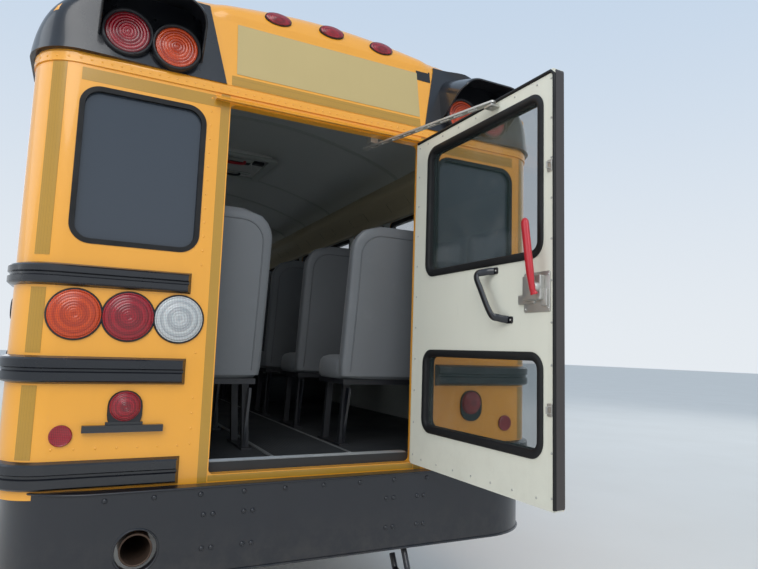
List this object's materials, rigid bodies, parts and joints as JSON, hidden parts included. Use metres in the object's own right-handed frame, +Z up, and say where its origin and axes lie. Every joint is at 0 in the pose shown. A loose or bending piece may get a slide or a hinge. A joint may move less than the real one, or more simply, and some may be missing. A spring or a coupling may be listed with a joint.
{
  "type": "school bus",
  "caption": "Long-nose school bus with open rear emergency door, bench seats, twin rear wheels, split entry door, tilting hood and folded stop arms.",
  "frame": {"origin": "on the ground under the middle of the whole outline, rear door open", "axes": "+X forward, +Y left, +Z up"},
  "size_m": [12.2741, 2.9, 3.1223],
  "materials": {
    "yellow_paint": "satin",
    "black_paint": "satin",
    "white_paint": "satin",
    "cream_paint": "satin",
    "glass": "polished",
    "rubber": "matte",
    "tyre": "matte",
    "rim": "satin",
    "grey_vinyl": "satin",
    "steel": "brushed",
    "dark_steel": "rough",
    "red_lens": "polished",
    "amber_lens": "polished",
    "clear_lens": "polished",
    "floor_black": "matte",
    "red_sign": "satin",
    "black_plastic": "matte"
  },
  "bodies": {
    "chassis": {"rear_wall": "yellow_paint", "side_wall_left": "yellow_paint", "side_wall_right": "yellow_paint", "front_wall": "yellow_paint", "roof": "white_paint", "rub_rails": "black_paint", "body_trim": "black_paint", "window_frames": "rubber", "window_glass": "glass", "floor": "floor_black", "floor_wells": "floor_black", "seat_cushions": "grey_vinyl", "seat_backs": "grey_vinyl", "seat_frames": "dark_steel", "dashboard": "black_plastic", "ladder_frame": "dark_steel", "engine_block": "dark_steel", "rear_axle": "dark_steel", "leaf_springs": "dark_steel", "front_axle": "dark_steel", "underfloor_tanks": "black_paint", "exhaust": "steel", "rear_bumper": "black_paint", "front_bumper": "black_paint", "lamp_housings": "black_paint", "lamps_red": "red_lens", "lamps_amber": "amber_lens", "lamps_clear": "clear_lens", "hatch_frames": "white_paint", "mirrors": "black_plastic", "hinge_bases": "steel"},
    "rear_door": {"rear_door_panel": "cream_paint", "rear_door_gaskets": "rubber", "rear_door_glass": "glass", "rear_door_fittings": "steel"},
    "hold_arm": {"hold_open_arm": "steel"},
    "entry_front": {"entry_leaf_front": "yellow_paint", "entry_leaf_front_glass": "glass"},
    "entry_rear": {"entry_leaf_rear": "yellow_paint", "entry_leaf_rear_glass": "glass"},
    "hood": {"hood": "yellow_paint", "grille": "black_paint", "headlamps": "clear_lens", "hood_mirrors": "black_plastic"},
    "knuckle_left": {"knuckle_left": "dark_steel"},
    "knuckle_right": {"knuckle_right": "dark_steel"},
    "tie_rod": {"tie_rod": "dark_steel"},
    "wheel_front_left": {"front_tyre_left": "tyre", "front_rim_left": "rim"},
    "wheel_front_right": {"front_tyre_right": "tyre", "front_rim_right": "rim"},
    "wheels_rear_left": {"rear_tyres_left": "tyre", "rear_rims_left": "rim"},
    "wheels_rear_right": {"rear_tyres_right": "tyre", "rear_rims_right": "rim"},
    "hatch_rear": {"hatch_rear_lid": "white_paint"},
    "hatch_front": {"hatch_front_lid": "white_paint"},
    "stop_arm_rear": {"stop_arm_rear": "red_sign"},
    "stop_arm_front": {"stop_arm_front": "red_sign"}
  },
  "joints": [
    {"name": "rear_door_swing", "type": "hinge", "parent": "chassis", "child": "rear_door", "pos_m": [-5.199, -0.487, 1.7], "axis": [0, 0, 1], "range_deg": [-91.5, 0]},
    {"name": "hold_arm_pivot", "type": "hinge", "parent": "rear_door", "child": "hold_arm", "pos_m": [-5.82283, -0.42531, 2.456], "axis": [0, 0, 1], "range_deg": [-11, 1]},
    {"name": "entry_front_swing", "type": "hinge", "parent": "chassis", "child": "entry_front", "pos_m": [4.334, -1.228, 1.4], "axis": [0, 0, 1], "range_deg": [0, 90]},
    {"name": "entry_rear_swing", "type": "hinge", "parent": "chassis", "child": "entry_rear", "pos_m": [3.676, -1.228, 1.4], "axis": [0, 0, 1], "range_deg": [-90, 0]},
    {"name": "hood_tilt", "type": "hinge", "parent": "chassis", "child": "hood", "pos_m": [5.94, 0, 0.64], "axis": [0, 1, 0], "range_deg": [0, 50]},
    {"name": "steer_left", "type": "hinge", "parent": "chassis", "child": "knuckle_left", "pos_m": [5.18, 0.93, 0.5], "axis": [0, 0, 1], "range_deg": [-35, 35]},
    {"name": "steer_right", "type": "hinge", "parent": "chassis", "child": "knuckle_right", "pos_m": [5.18, -0.93, 0.5], "axis": [0, 0, 1], "range_deg": [-35, 35]},
    {"name": "tie_rod_pivot", "type": "hinge", "parent": "knuckle_left", "child": "tie_rod", "pos_m": [4.97, 0.855, 0.385], "axis": [0, 0, 1], "range_deg": [-38, 38]},
    {"name": "wheel_spin_front_left", "type": "hinge", "parent": "knuckle_left", "child": "wheel_front_left", "pos_m": [5.18, 1.03, 0.52], "axis": [0, 1, 0], "continuous": true},
    {"name": "wheel_spin_front_right", "type": "hinge", "parent": "knuckle_right", "child": "wheel_front_right", "pos_m": [5.18, -1.03, 0.52], "axis": [0, 1, 0], "continuous": true},
    {"name": "wheels_spin_rear_left", "type": "hinge", "parent": "chassis", "child": "wheels_rear_left", "pos_m": [-1.83, 0.893, 0.52], "axis": [0, 1, 0], "continuous": true},
    {"name": "wheels_spin_rear_right", "type": "hinge", "parent": "chassis", "child": "wheels_rear_right", "pos_m": [-1.83, -0.893, 0.52], "axis": [0, 1, 0], "continuous": true},
    {"name": "hatch_rear_lift", "type": "hinge", "parent": "chassis", "child": "hatch_rear", "pos_m": [-2.44, 0, 3.0763], "axis": [0, 1, 0], "range_deg": [0, 80]},
    {"name": "hatch_front_lift", "type": "hinge", "parent": "chassis", "child": "hatch_front", "pos_m": [1.827, 0, 3.0763], "axis": [0, 1, 0], "range_deg": [0, 80]},
    {"name": "stop_arm_rear_swing", "type": "hinge", "parent": "chassis", "child": "stop_arm_rear", "pos_m": [-3.922, 1.272, 1.475], "axis": [0, 0, 1], "range_deg": [-90, 0]},
    {"name": "stop_arm_front_swing", "type": "hinge", "parent": "chassis", "child": "stop_arm_front", "pos_m": [3.568, 1.272, 1.475], "axis": [0, 0, 1], "range_deg": [-90, 0]}
  ],
  "couplings": [
    {"joint": "hold_arm_pivot", "follows": "rear_door_swing", "ratio": 0.1151},
    {"joint": "entry_rear_swing", "follows": "entry_front_swing", "ratio": -1},
    {"joint": "steer_right", "follows": "steer_left", "ratio": 1},
    {"joint": "tie_rod_pivot", "follows": "steer_left", "ratio": -1.081}
  ]
}
